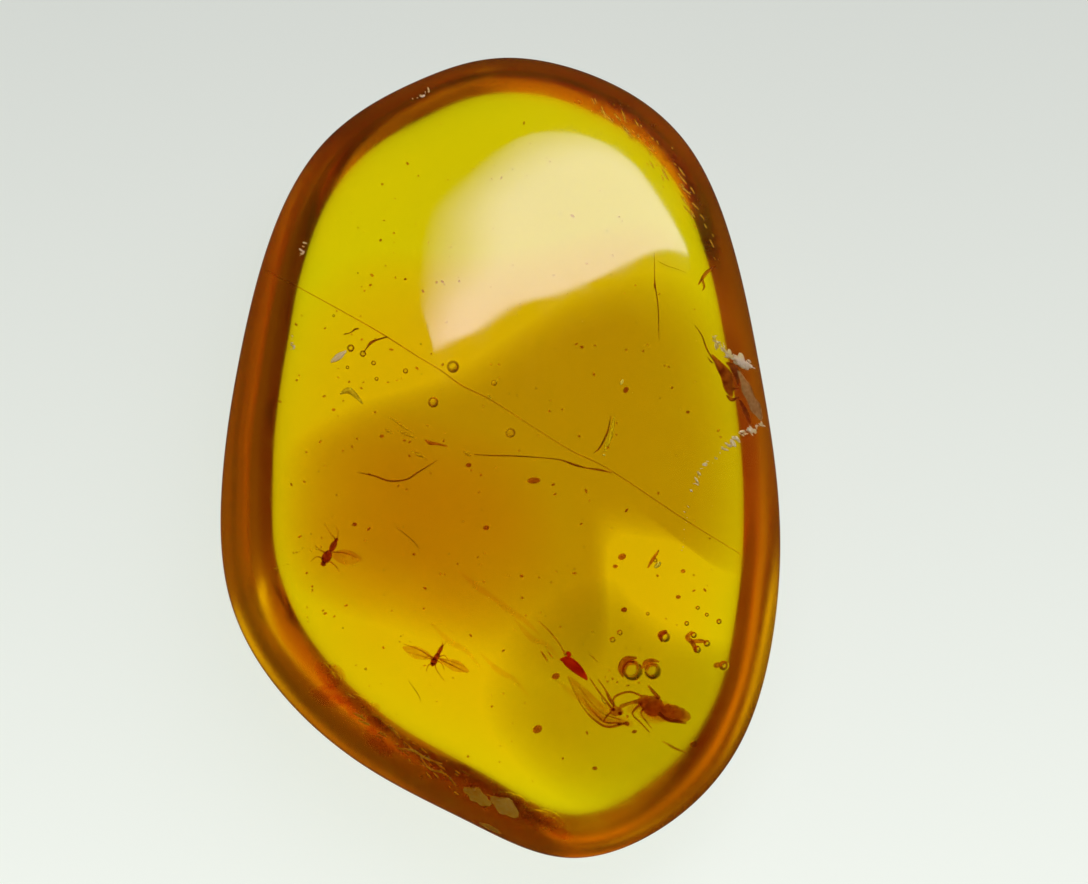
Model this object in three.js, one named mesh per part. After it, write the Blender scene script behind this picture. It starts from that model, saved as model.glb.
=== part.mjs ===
// A polished, free-form cabochon of amber, lying on the small flat at the middle of its back.
// Amber is one solid lump of resin, so the stone is one closed body with nothing cut out of it.
// Millimetres. +Y runs along the stone, +Z points up from the surface that it lies on, and the
// origin is on that surface, below the middle of the stone's box.
import * as THREE from 'three';

// Driving dimensions
const THICKNESS = 11.0;        // from the flat to the crown of the dome
const GIRDLE_HEIGHT = 5.3;     // height of the widest line of the stone above the flat
const FLAT_SHARE = 0.25;       // the flat reaches this share of the way out to the girdle
const FACE_POWER = 2.4;        // 2 would be a plain oval dome; more keeps the middle flatter
const EDGE_ROUNDNESS = 0.62;   // 1 rounds the edge like an oval, 0 brings it to a lens's edge
const ROUNDNESS_SWING = 0.3;   // how much the roundness grows and shrinks round the stone
const ROUNDEST_SIDE = 45;      // direction of the roundest edge, in degrees from +X towards +Y
const OVAL_HALF_WIDTH = 11.6;  // the plain oval that the level lines near the crown lean towards
const OVAL_HALF_LENGTH = 16.6;
const OVAL_LEAN = 4;           // its long axis from +Y, in degrees towards -X
const OVAL_PULL = 0.6;         // how far they lean towards it: 0 not at all, 1 all the way

// The girdle, which is the widest outline, anticlockwise from the top end, about 5 mm apart
const GIRDLE = [
  [0.6, 16.6], [-3.3, 15.7], [-7.1, 13.3], [-9.5, 9.2], [-10.8, 4.2],
  [-11.5, -0.6], [-11.3, -5.5], [-9.2, -9.6], [-5.6, -12.8], [-1.3, -15.1],
  [2.9, -16.6], [7.1, -15.1], [10.2, -11.4], [11.5, -6.1], [11.5, -1.0],
  [10.7, 4.2], [9.7, 8.7], [8.0, 12.7], [4.9, 15.4],
];

// How finely the surface is cut into facets
const SECTORS = 76;            // steps round the stone
const FACE_STEPS = 15;         // steps from the middle of a face to the girdle
const FLAT_CORNERS = 19;       // corners of the flat; SECTORS is a whole multiple of it

const TO_RADIANS = Math.PI / 180;

// Closed cubic B-spline through the given points: its curvature has no jumps, as on a polished edge.
class SmoothOutline extends THREE.Curve {
  constructor(points) {
    super();
    const count = points.length;
    this.handles = points.map(([x, y]) => new THREE.Vector2(x, y));
    // Each pass moves every handle by what the curve still misses its point by.
    for (let pass = 0; pass < 60; pass += 1) {
      this.handles = this.handles.map((handle, i) => {
        const before = this.handles[(i + count - 1) % count];
        const after = this.handles[(i + 1) % count];
        const reached = handle.clone().multiplyScalar(4).add(before).add(after).divideScalar(6);
        return new THREE.Vector2(...points[i]).sub(reached).add(handle);
      });
    }
  }

  getPoint(t, target = new THREE.Vector2()) {
    const count = this.handles.length;
    const place = (t % 1) * count;
    const start = Math.floor(place);
    const u = place - start;
    const weights = [
      (1 - u) ** 3,
      3 * u ** 3 - 6 * u ** 2 + 4,
      -3 * u ** 3 + 3 * u ** 2 + 3 * u + 1,
      u ** 3,
    ];
    target.set(0, 0);
    weights.forEach((weight, i) => {
      target.addScaledVector(this.handles[(start + i - 1 + count) % count], weight / 6);
    });
    return target;
  }
}

const girdle = new SmoothOutline(GIRDLE);

// Distance from the middle to the plain oval, in one direction
function ovalReach(angle) {
  const turned = angle - OVAL_LEAN * TO_RADIANS;
  const across = Math.cos(turned) / OVAL_HALF_WIDTH;
  const along = Math.sin(turned) / OVAL_HALF_LENGTH;
  return 1 / Math.hypot(across, along);
}

// Distance from the middle to the level line at a share of the way out. At the girdle the line is
// the girdle itself; further in it grows more like the oval.
function levelReach(edge, share) {
  const own = edge.length();
  const rounder = own + OVAL_PULL * (ovalReach(edge.angle()) - own);
  return share * (share * own + (1 - share) * rounder);
}

// The section from a face's middle to the girdle, by the turn t from 0 to a quarter turn. The share
// of the way out is sin(t)^(2/p). The share of the height left is cos(t) * sqrt(k + (1 - k) cos(t)^2):
// cos(t) alone would be an oval's edge, and cos(t)^2 the thin edge of a lens.
const shareOut = (turn) => Math.sin(turn) ** (2 / FACE_POWER);
function heightLeft(turn, angle) {
  const roundness = EDGE_ROUNDNESS + ROUNDNESS_SWING * Math.cos(angle - ROUNDEST_SIDE * TO_RADIANS);
  const oval = Math.max(0, Math.cos(turn));
  return oval * Math.sqrt(roundness + (1 - roundness) * oval ** 2);
}

// One ring of points round the stone. Turn 0 is the middle of the face, or the edge of the flat on
// the back, and a quarter turn is the girdle.
function ring(turn, faceHeight, firstShare) {
  const share = firstShare + (1 - firstShare) * shareOut(turn);
  return Array.from({ length: SECTORS }, (_, i) => {
    const edge = girdle.getPoint(i / SECTORS);
    const height = GIRDLE_HEIGHT + (faceHeight - GIRDLE_HEIGHT) * heightLeft(turn, edge.angle());
    const level = edge.clone().setLength(levelReach(edge, share));
    return new THREE.Vector3(level.x, level.y, height);
  });
}

const positions = [];
function triangle(a, b, c) {
  positions.push(...a.toArray(), ...b.toArray(), ...c.toArray());
}

// The band between two rings, the lower one first. The upper may have a multiple of the lower's
// points: each lower point then takes a fan of the upper ring's edges.
function band(lower, upper) {
  const fan = upper.length / lower.length;
  const half = Math.floor(fan / 2);
  const above = (i) => upper[(i + upper.length) % upper.length];
  lower.forEach((point, i) => {
    const next = lower[(i + 1) % lower.length];
    for (let k = i * fan - half; k < (i + 1) * fan - half; k += 1) {
      triangle(point, above(k + 1), above(k));
    }
    triangle(point, next, above((i + 1) * fan - half));
  });
}

// Closes a ring to a point at its middle, seen from above or, for the flat, from below
function close(ringOfPoints, middle, seenFromAbove) {
  ringOfPoints.forEach((point, i) => {
    const next = ringOfPoints[(i + 1) % ringOfPoints.length];
    if (seenFromAbove) {
      triangle(middle, point, next);
    } else {
      triangle(middle, next, point);
    }
  });
}

function amberGeometry() {
  const quarter = Math.PI / 2;
  const flatEdge = ring(0, 0, FLAT_SHARE);
  const flatCorners = flatEdge.filter((_, i) => i % (SECTORS / FLAT_CORNERS) === 0);
  const rings = [flatCorners];
  for (let step = 1; step <= FACE_STEPS; step += 1) {
    rings.push(ring(quarter * step / FACE_STEPS, 0, FLAT_SHARE));
  }
  for (let step = FACE_STEPS - 1; step >= 1; step -= 1) {
    rings.push(ring(quarter * step / FACE_STEPS, THICKNESS, 0));
  }
  for (let i = 1; i < rings.length; i += 1) {
    band(rings[i - 1], rings[i]);
  }
  close(flatCorners, new THREE.Vector3(0, 0, 0), false);
  close(rings[rings.length - 1], new THREE.Vector3(0, 0, THICKNESS), true);

  const geometry = new THREE.BufferGeometry();
  geometry.setAttribute('position', new THREE.Float32BufferAttribute(positions, 3));
  geometry.computeVertexNormals();
  return geometry;
}

const amberFinish = new THREE.MeshStandardMaterial({
  name: 'amber',
  color: 0xd8a80c,
  roughness: 0.06,
  metalness: 0,
  transparent: true,
  opacity: 0.7,
});

const amber = new THREE.Mesh(amberGeometry(), amberFinish);
amber.name = 'amber';

const insectInAmber = new THREE.Group();
insectInAmber.add(amber);

export default insectInAmber;
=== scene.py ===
# %% [markdown]
# # A midge in amber, in Blender
#
# The object is one polished lump of fossil resin with small insects, bubbles, hairs and cracks
# sealed in it. Everything here is a surface worked out with numpy: rings of points carried along a
# path or spread over a face, closed by a point at each end. The stone's own outline comes from the
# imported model, so that the fine stone is the same size as the plain solid that it stands for.

import math

import bpy
import numpy as np
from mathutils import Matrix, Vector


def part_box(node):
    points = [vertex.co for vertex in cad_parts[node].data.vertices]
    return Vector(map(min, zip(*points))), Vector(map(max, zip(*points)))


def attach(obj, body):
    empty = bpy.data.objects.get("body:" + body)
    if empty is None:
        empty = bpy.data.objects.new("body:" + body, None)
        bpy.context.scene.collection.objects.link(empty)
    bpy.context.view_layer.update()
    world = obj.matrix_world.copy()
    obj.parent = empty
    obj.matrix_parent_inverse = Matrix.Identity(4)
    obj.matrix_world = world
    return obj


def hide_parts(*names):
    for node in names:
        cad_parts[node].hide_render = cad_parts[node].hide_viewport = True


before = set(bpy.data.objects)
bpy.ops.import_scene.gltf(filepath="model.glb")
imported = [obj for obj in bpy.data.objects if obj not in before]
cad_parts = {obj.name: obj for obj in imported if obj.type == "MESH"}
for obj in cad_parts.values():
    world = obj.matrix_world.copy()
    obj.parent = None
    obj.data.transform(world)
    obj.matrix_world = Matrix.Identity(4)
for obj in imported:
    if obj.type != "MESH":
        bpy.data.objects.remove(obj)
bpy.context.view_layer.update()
stone_low, stone_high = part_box("amber")
MM = 0.001
SIZE = (stone_high - stone_low) / MM
print(f"stone {SIZE.x:.1f} x {SIZE.y:.1f} x {SIZE.z:.1f} mm")

# %% [markdown]
# ## The stone's outline
#
# The widest line round a cabochon is its girdle. The plain solid has one ring of corners there. A
# closed B-spline through those corners gives the polished edge its even curve; straight steps
# between them would show as flats, because a see-through edge magnifies every corner.

# %% Read the girdle from the plain solid
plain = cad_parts["amber"].data
corners = np.zeros(len(plain.vertices) * 3, np.float32)
plain.vertices.foreach_get("co", corners)
corners = corners.reshape(-1, 3).astype(float) / MM
GIRDLE_HEIGHT = corners[np.argmax(corners[:, 1]), 2]
CROWN = SIZE.z
on_girdle = corners[np.abs(corners[:, 2] - GIRDLE_HEIGHT) < 0.01, :2]
girdle = np.unique(np.round(on_girdle, 3), axis=0)
girdle = girdle[np.argsort(np.arctan2(girdle[:, 1], girdle[:, 0]))]
print(f"girdle {GIRDLE_HEIGHT:.2f} mm up, through {len(girdle)} corners")


SPLINE_PASSES = 60


def closed_spline(points, count):
    """A closed cubic B-spline through the points, sampled at count even steps. Each of the passes
    moves every handle by what the curve still misses its point by."""
    handles = points.copy()
    for _ in range(SPLINE_PASSES):
        around = np.roll(handles, 1, axis=0) + 4 * handles + np.roll(handles, -1, axis=0)
        handles += points - around / 6
    place = np.arange(count) / count * len(points)
    start = place.astype(int)
    u = (place - start)[:, None]
    weights = ((1 - u) ** 3, 3 * u**3 - 6 * u**2 + 4, 1 + 3 * (u + u**2 - u**3), u**3)
    return sum(w * np.roll(handles, 1 - i, axis=0)[start] for i, w in enumerate(weights)) / 6


fine_girdle = closed_spline(girdle, 1440)
girdle_angle = np.unwrap(np.arctan2(fine_girdle[:, 1], fine_girdle[:, 0]))
girdle_reach = np.hypot(fine_girdle[:, 0], fine_girdle[:, 1])

# %% [markdown]
# ## The stone's two faces
#
# Seen from the side, a face rises from the girdle like an oval on the stone's round side and more
# like a lens on its thin side. That matters to the look: where a flank is steep enough, the light
# from below is turned back inside, and the edge shows as a dark orange band. Both faces are one
# function of place, so that anything sealed inside can be set out from the surface above it.

# %% The two faces as functions of place
FACE_POWER = 2.4
FLAT_SHARE = 0.25
EDGE_ROUNDNESS, ROUNDNESS_SWING, ROUNDEST_SIDE = 0.62, 0.3, math.radians(45)
OVAL_HALF_WIDTH, OVAL_HALF_LENGTH, OVAL_LEAN, OVAL_PULL = 11.6, 16.6, math.radians(4), 0.6
BACK_UNEVENNESS = 4
RIPPLES = [(0.009, 0.74, 0.31, 0.6), (0.007, -0.42, 0.93, 2.1), (0.003, 1.7, -0.9, 0.0),
           (0.003, 1.5, 1.3, 4.0)]


def reaches(angle):
    """How far the girdle is in a direction, and the reach that the level lines near the crown
    lean towards: a share of the way from the girdle's own reach to a plain oval's."""
    own = np.interp(angle, girdle_angle, girdle_reach, period=2 * math.pi)
    turned = angle - OVAL_LEAN
    oval = 1 / np.hypot(np.cos(turned) / OVAL_HALF_WIDTH, np.sin(turned) / OVAL_HALF_LENGTH)
    return own, own + OVAL_PULL * (oval - own)


def height_left(turn, angle):
    """The share of a face's height left at a turn t from its middle, 0, to the girdle, a quarter
    turn: cos t times the square root of k + (1 - k) cos t squared, with k the edge's roundness."""
    roundness = EDGE_ROUNDNESS + ROUNDNESS_SWING * np.cos(angle - ROUNDEST_SIDE)
    level = np.clip(np.cos(turn), 0, 1)
    return level * np.sqrt(roundness + (1 - roundness) * level**2)


def share_at(x, y):
    """The share of the way out to the girdle, from r = s (s own + (1 - s) rounder), solved for s."""
    own, rounder = reaches(np.arctan2(y, x))
    r = np.hypot(x, y)
    return np.clip(2 * r / (rounder + np.sqrt(rounder**2 + 4 * (own - rounder) * r)), 0, 0.999)


def waves(x, y):
    """Hand polishing leaves a face a little uneven. The ripples are height sin(a x + b y + c)."""
    return sum(height * np.sin(a * x + b * y + c) for height, a, b, c in RIPPLES)


def dome_height(x, y):
    """Height of the dome's surface above the table."""
    turn = np.arcsin(share_at(x, y) ** (FACE_POWER / 2))
    left = height_left(turn, np.arctan2(y, x))
    return GIRDLE_HEIGHT + (CROWN - GIRDLE_HEIGHT) * left + waves(x, y) * left


def back_height(x, y):
    """Height of the back above the table: nought on the flat, and rippled between flat and edge."""
    share = np.clip((share_at(x, y) - FLAT_SHARE) / (1 - FLAT_SHARE), 0, 1)
    left = height_left(np.arcsin(share ** (FACE_POWER / 2)), np.arctan2(y, x))
    return GIRDLE_HEIGHT * (1 - left) + BACK_UNEVENNESS * waves(y, -x) * left * (1 - left)


print(f"crown {dome_height(0.0, 0.0):.2f} mm, back {back_height(0.0, 0.0):.2f} mm")

# %% [markdown]
# ## One way to close every surface
#
# Every shape below is a stack of rings with a point at each end: the stone, a leg, a wing, a bubble.
# One function joins the rings, and turns the faces outwards by the sign of the shell's volume. A
# bubble is a hole in the resin, so its faces point into the hole, away from the resin.


# %% Close a stack of rings
def closed_rings(rings, first, last, hollow=False):
    """Joins rows of ring points into a closed shell: quads between neighbouring rings, and a fan of
    triangles to a point at each end. The shell's volume is a sixth of the sum of a . (b x c)."""
    rows, columns = rings.shape[:2]
    points = np.concatenate([[first], rings.reshape(-1, 3), [last]])
    here = np.arange(columns)
    after = (here + 1) % columns
    base = 1 + columns * np.arange(rows - 1)[:, None]
    quads = np.stack([base + here, base + after, base + columns + after, base + columns + here], -1)
    top = 1 + columns * (rows - 1)
    start = np.stack([np.zeros_like(here), 1 + after, 1 + here], -1)
    end = np.stack([np.full_like(here, len(points) - 1), top + here, top + after], -1)
    return aim([points, quads.reshape(-1, 4), np.concatenate([start, end])], hollow)


def aim(shell, hollow=False):
    """Turns a shell's faces outwards, or inwards for a hole."""
    points, quads, triangles = shell
    middle = points - points.mean(0)
    halves = np.concatenate([triangles, quads[:, [0, 1, 2]], quads[:, [0, 2, 3]]])
    a, b, c = (middle[halves[:, i]] for i in range(3))
    inside_out = np.einsum("ij,ij->i", a, np.cross(b, c)).sum() < 0
    if inside_out != hollow:
        return [points, quads[:, ::-1], triangles[:, ::-1]]
    return shell


# %% [markdown]
# ## One object for each kind of thing
#
# A leg and a feeler are separate shells, but they look alike and never part. Shells that share a
# finish are therefore one object, which is quicker to draw and to name. Each object rides on the
# stone's body.

# %% Make an object of several shells
pieces = []


def piece(name, shells, material):
    """One object of several shells, in metres, riding on the stone's body."""
    offsets = np.cumsum([0] + [len(s[0]) for s in shells])
    points = np.concatenate([s[0] for s in shells]) * MM
    quads = np.concatenate([s[1] + o for s, o in zip(shells, offsets)])
    triangles = np.concatenate([s[2] + o for s, o in zip(shells, offsets)])
    mesh = bpy.data.meshes.new(name)
    mesh.from_pydata(points.tolist(), [], quads.tolist() + triangles.tolist())
    mesh.polygons.foreach_set("use_smooth", np.ones(len(mesh.polygons), bool))
    mesh.materials.append(material)
    mesh.update()
    made = bpy.data.objects.new(name, mesh)
    bpy.context.scene.collection.objects.link(made)
    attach(made, "root")
    pieces.append(made)
    print(f"{name}: {len(shells)} shells, {len(quads) * 2 + len(triangles)} triangles")
    return made


# %% [markdown]
# ## Where a thing has to lie to be seen where it is
#
# Light bends as it leaves the dome, so an insect isn't where it seems to be. Each inclusion is drawn
# as it shows from above, with its depth below the dome, and then settled: the sight line runs from
# the eye to the dome, bends there by Snell's law, and goes on down by the depth.

# %% The eye above the stone
LENS = 180
SENSOR = 36
VIEW_WIDTH = 45.15
FRAMING = np.array([1.83, 0.66])
EYE = np.array([*FRAMING, GIRDLE_HEIGHT + VIEW_WIDTH * LENS / SENSOR])
AMBER_IOR = 1.54


def unit(vectors):
    """Vectors of length one."""
    return vectors / np.linalg.norm(vectors, axis=-1, keepdims=True)


def settle(seen):
    """Rows of x and y as seen at the girdle's level, and depth below the dome, to true places. Four
    passes bring the sight line to the dome, and a small step each way gives the dome's slope."""
    shape = np.shape(seen)
    x, y, depth = np.reshape(seen, (-1, 3)).T
    aim_at = np.stack([x, y, np.full_like(x, GIRDLE_HEIGHT)], 1)
    ray = unit(aim_at - EYE)
    meet = aim_at
    for _ in range(4):
        height = dome_height(meet[:, 0], meet[:, 1])
        meet = EYE + ray * ((height - EYE[2]) / ray[:, 2])[:, None]
    step = 0.01
    slope_x = (dome_height(meet[:, 0] + step, meet[:, 1]) - height) / step
    slope_y = (dome_height(meet[:, 0], meet[:, 1] + step) - height) / step
    normal = unit(np.stack([-slope_x, -slope_y, np.ones_like(slope_x)], 1))
    facing = -np.einsum("ij,ij->i", ray, normal)
    kept = np.sqrt(1 - (1 - facing**2) / AMBER_IOR**2)
    bent = ray / AMBER_IOR + (facing / AMBER_IOR - kept)[:, None] * normal
    return (meet + bent * depth[:, None]).reshape(shape)


print("a speck seen at 8, 0 and 5 mm deep lies at", np.round(settle([[8.0, 0.0, 5.0]]), 2)[0])

# %% [markdown]
# ## Profiles carried along a path
#
# Legs, hairs, bodies and wings are all ellipses carried along a line. A wing is one that is wide and
# hardly thick; a hair is one that is thin both ways. The line is a smooth curve through a few
# points, and the ellipse's half-widths run along it with the points.


# %% Carry an ellipse along a line
def smooth_line(points, count):
    """A Catmull-Rom curve through rows of any length, sampled at count places. Each stretch is a
    cubic whose slope at a point is half the step between that point's neighbours."""
    rows = np.array(points, float)
    padded = np.concatenate([[2 * rows[0] - rows[1]], rows, [2 * rows[-1] - rows[-2]]])
    place = np.linspace(0, len(rows) - 1, count)
    i = np.minimum(place.astype(int), len(rows) - 2)
    u = (place - i)[:, None]
    a, b, c, d = (padded[i + k] for k in range(4))
    return b + 0.5 * u * (c - a + u * (2 * a - 5 * b + 4 * c - d + u * (3 * (b - c) + d - a)))


THINNEST = 0.004
ALMOST_UP = [0.05, 0.03, 1.0]
END_ROUNDNESS = 0.7


def carried(points, count=24, sides=10, thin=1.0, ripples=0, ripple=0.0):
    """A closed shell along a line. Each row is x, y, depth and half-width; the half-height is thin
    times the half-width, and ripples are even rings that swell it, like a body's segments."""
    line = smooth_line(points, count)
    path, half = line[:, :3], np.maximum(line[:, 3], THINNEST)
    along = np.linspace(0, 1, count)
    half = half * (1 + ripple * np.cos(2 * math.pi * ripples * along))
    tangent = unit(np.gradient(path, axis=0))
    across = unit(np.cross(tangent, ALMOST_UP))
    upright = np.cross(across, tangent)
    angle = 2 * math.pi * np.arange(sides)[:, None] / sides
    wide = half[:, None, None] * np.cos(angle) * across[:, None]
    high = (half * thin)[:, None, None] * np.sin(angle) * upright[:, None]
    ends = tangent[[0, -1]] * half[[0, -1], None] * END_ROUNDNESS
    rings = settle(path[:, None] + wide + high)
    first, last = settle(np.stack([path[0] - ends[0], path[-1] + ends[1]]))
    return closed_rings(rings, first, last)


def at_depth(depth, *rows):
    """Rows of x, y and half-width that all lie at one depth, as rows for carried."""
    return [(x, y, depth, half) for x, y, half in rows]


EGG_TIP = 0.12


def egg(x, y, depth, long, wide, lean=0.0, thin=0.9, blunt=0.0, count=22, sides=20, **more):
    """An egg along a straight line: half-width = wide sqrt(1 - u^2) (1 + blunt u), u from -1 to 1.
    Lean is the long axis' angle from +X in degrees."""
    u = -np.cos(np.linspace(EGG_TIP, math.pi - EGG_TIP, count))
    way = np.array([math.cos(math.radians(lean)), math.sin(math.radians(lean))])
    rows = np.stack([x + u * long * way[0], y + u * long * way[1], np.full_like(u, depth),
                     wide * np.sqrt(1 - u**2) * (1 + blunt * u)], 1)
    return carried(rows, count, sides, thin, **more)


def bubble(x, y, depth, radius, sides):
    """A round hole in the resin, as rings of latitude from pole to pole."""
    latitude = np.linspace(0, math.pi, sides // 2 + 2)[1:-1, None]
    angle = 2 * math.pi * np.arange(sides) / sides
    rings = np.stack([np.sin(latitude) * np.cos(angle), np.sin(latitude) * np.sin(angle),
                      np.cos(latitude) + 0 * angle], -1)
    poles = np.array([[0, 0, 1.0], [0, 0, -1.0]])
    middle = np.array([x, y, depth])
    rings, (first, last) = settle(middle + radius * rings), settle(middle + radius * poles)
    return closed_rings(rings, first, last, hollow=True)


# %% [markdown]
# ## Helpers for materials
#
# A material is a tree of nodes. It could be wired by hand for every finish, but the same few steps
# come back each time: a cloudy noise on the piece's own coordinates, a ramp from one shade to
# another, a little arithmetic, and absorption inside. Each is a short function here.

# %% Helpers for node materials
def new_material(name):
    """A material, its node tree, its shader and its output."""
    material = bpy.data.materials.new(name)
    material.use_nodes = True
    tree = material.node_tree
    return material, tree, tree.nodes["Principled BSDF"], tree.nodes["Material Output"]


def noise(tree, scale, detail=3.0):
    """Cloudy noise on the piece's own coordinates; scale counts spots per millimetre or so."""
    place = tree.nodes.new("ShaderNodeTexCoord")
    mapping = tree.nodes.new("ShaderNodeMapping")
    mapping.inputs["Scale"].default_value = [scale / MM] * 3
    cloud = tree.nodes.new("ShaderNodeTexNoise")
    cloud.inputs["Scale"].default_value = 1.0
    cloud.inputs["Detail"].default_value = detail
    tree.links.new(place.outputs["Object"], mapping.inputs["Vector"])
    tree.links.new(mapping.outputs["Vector"], cloud.inputs["Vector"])
    return cloud.outputs["Fac"]


def ramp(tree, value, stops):
    """A colour ramp: stops are pairs of a place from 0 to 1 and a colour."""
    node = tree.nodes.new("ShaderNodeValToRGB")
    elements = node.color_ramp.elements
    for element, (place, colour) in zip(elements, (stops[0], stops[-1])):
        element.position = place
        element.color = (*colour, 1)
    for place, colour in stops[1:-1]:
        elements.new(place).color = (*colour, 1)
    tree.links.new(value, node.inputs["Fac"])
    return node.outputs["Color"]


def spread(tree, value, low, high, start=0.3, end=0.7):
    """Stretches a value to the range low to high, from a noise's usual range or the one given."""
    node = tree.nodes.new("ShaderNodeMapRange")
    for key, number in (("From Min", start), ("From Max", end), ("To Min", low), ("To Max", high)):
        node.inputs[key].default_value = number
    tree.links.new(value, node.inputs["Value"])
    return node.outputs["Result"]


def math_node(tree, operation, *values):
    """A Math node on sockets or plain numbers."""
    node = tree.nodes.new("ShaderNodeMath")
    node.operation = operation
    for socket, value in zip(node.inputs, values):
        if isinstance(value, (int, float)):
            socket.default_value = value
        else:
            tree.links.new(value, socket)
    return node.outputs["Value"]


def object_place(tree):
    """The piece's own coordinates, and their three parts."""
    place = tree.nodes.new("ShaderNodeTexCoord").outputs["Object"]
    axes = tree.nodes.new("ShaderNodeSeparateXYZ")
    tree.links.new(place, axes.inputs["Vector"])
    return place, axes.outputs


def absorb(tree, output, losses, density):
    """Plain volume absorption: what is lost per metre in each colour is density times what the
    colour lacks, so each colour is one minus loss over density."""
    node = tree.nodes.new("ShaderNodeVolumeAbsorption")
    node.inputs["Density"].default_value = density
    node.inputs["Color"].default_value = (*(1 - loss / density for loss in losses), 1)
    tree.links.new(node.outputs["Volume"], output.inputs["Volume"])


# %% [markdown]
# ## Clear amber
#
# Amber is clear resin that eats blue light at once, green light slowly and red hardly at all. Its
# colour is therefore all in the volume: plain absorption by depth, so a thin edge is paler and a long
# path is a deep orange. The skin is polished but not perfect: faint marks give its gloss a little
# unevenness, and the edge, which is hard to hold against a wheel, is duller than the faces.

# %% The amber's finish
AMBER_LOSSES = (4.0, 28.0, 1100.0)
EDGE_WEAR = 0.16
amber, tree, shader, output = new_material("clear_amber")
shader.inputs["Base Color"].default_value = (1, 1, 1, 1)
shader.inputs["Transmission Weight"].default_value = 1.0
shader.inputs["IOR"].default_value = AMBER_IOR
polish = spread(tree, noise(tree, 1.1), 0.04, 0.09)
rise = spread(tree, object_place(tree)[1]["Z"], 0, 1, 0, CROWN * MM)
wear = ramp(tree, rise, [(0.1, (0, 0, 0)), (0.36, (1, 1, 1)), (0.56, (1, 1, 1)), (0.8, (0, 0, 0))])
tree.links.new(math_node(tree, "MULTIPLY_ADD", wear, EDGE_WEAR, polish), shader.inputs["Roughness"])
absorb(tree, output, AMBER_LOSSES, density=1200.0)
print("amber lets through, per centimetre:", np.round(np.exp(-0.01 * np.array(AMBER_LOSSES)), 2))

# %% [markdown]
# ## Bubbles
#
# Bubbles are holes, so they are part of the stone's own mesh. Light meets air at a bubble's wall
# from inside the resin and is thrown back near its edge, which draws the dark ring with a bright
# middle that every bubble in amber shows. Round ones are listed one by one, and finer ones are scattered.

# %% The bubbles
BUBBLES = [
    (-1.95, 3.79, 2.2, 0.27), (-0.24, 3.12, 2.4, 0.14), (0.44, 1.04, 2.2, 0.22), (-2.78, 2.32, 4.0, 0.24),
    (-5.25, 3.94, 2.5, 0.11), (-5.12, 3.28, 2.4, 0.09), (-3.92, 3.61, 2.6, 0.12), (-6.2, 4.56, 1.6, 0.17),
    (-5.69, 4.33, 1.9, 0.15), (-0.46, 2.55, 2.2, 0.07), (5.49, -8.82, 3.0, 0.46), (6.34, -8.84, 3.2, 0.38),
    (6.85, -7.43, 3.4, 0.24), (4.98, -7.25, 3.2, 0.13), (4.68, -7.55, 3.2, 0.13), (9.3, -8.62, 1.2, 0.21),
    (8.6, -7.7, 2.4, 0.15), (8.05, -7.35, 2.5, 0.14), (8.2, -7.95, 2.5, 0.17), (5.19, -6.31, 3.0, 0.1),
    (6.14, -6.47, 3.0, 0.08), (8.22, -6.22, 2.2, 0.09), (8.59, -6.51, 2.0, 0.09), (7.76, -6.87, 2.2, 0.11),
    (9.1, -6.79, 1.6, 0.12), (6.45, -4.25, 2.8, 0.1), (-6.33, 3.76, 2.2, 0.08), (-5.57, -8.76, 3.0, 0.06),
    (-6.06, -2.78, 3.0, 0.07), (-6.9, 5.9, 1.6, 0.06), (1.5, 2.9, 3.0, 0.06), (3.1, -4.6, 3.0, 0.05),
]
SPECKS = 46
dice = np.random.default_rng(7)
reach, way = 9.0 * np.sqrt(dice.random(SPECKS)), dice.uniform(0, 2 * math.pi, SPECKS)
speck_depths, speck_sizes = dice.uniform(1.0, 5.0, SPECKS), dice.uniform(0.02, 0.045, SPECKS)
specks = [(0.95 * r * math.cos(a), 1.45 * r * math.sin(a), depth, size)
          for r, a, depth, size in zip(reach, way, speck_depths, speck_sizes)]
bubbles = [bubble(*row, sides=26 if row[3] > 0.2 else 14) for row in BUBBLES]
bubbles += [bubble(*row, sides=8) for row in specks]
print(f"{len(bubbles)} bubbles")

# %% [markdown]
# ## The fine stone
#
# The stone is one stack of rings from the middle of the flat, out to the girdle and back in to the
# crown. Its steps are even in turn and not in distance, so they are closest together at the edge,
# where the surface bends most and the light is most particular.

# %% Make the stone
AROUND = 360
FACE_RINGS = 64
FLAT_RINGS = 10
outline = closed_spline(girdle, AROUND)
outline_angle = np.arctan2(outline[:, 1], outline[:, 0])
own_reach, rounder_reach = reaches(outline_angle)


def level_ring(share):
    """x and y of a level line at a share of the way out."""
    reach = share * (share * own_reach + (1 - share) * rounder_reach)
    return reach * np.cos(outline_angle), reach * np.sin(outline_angle)


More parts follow.
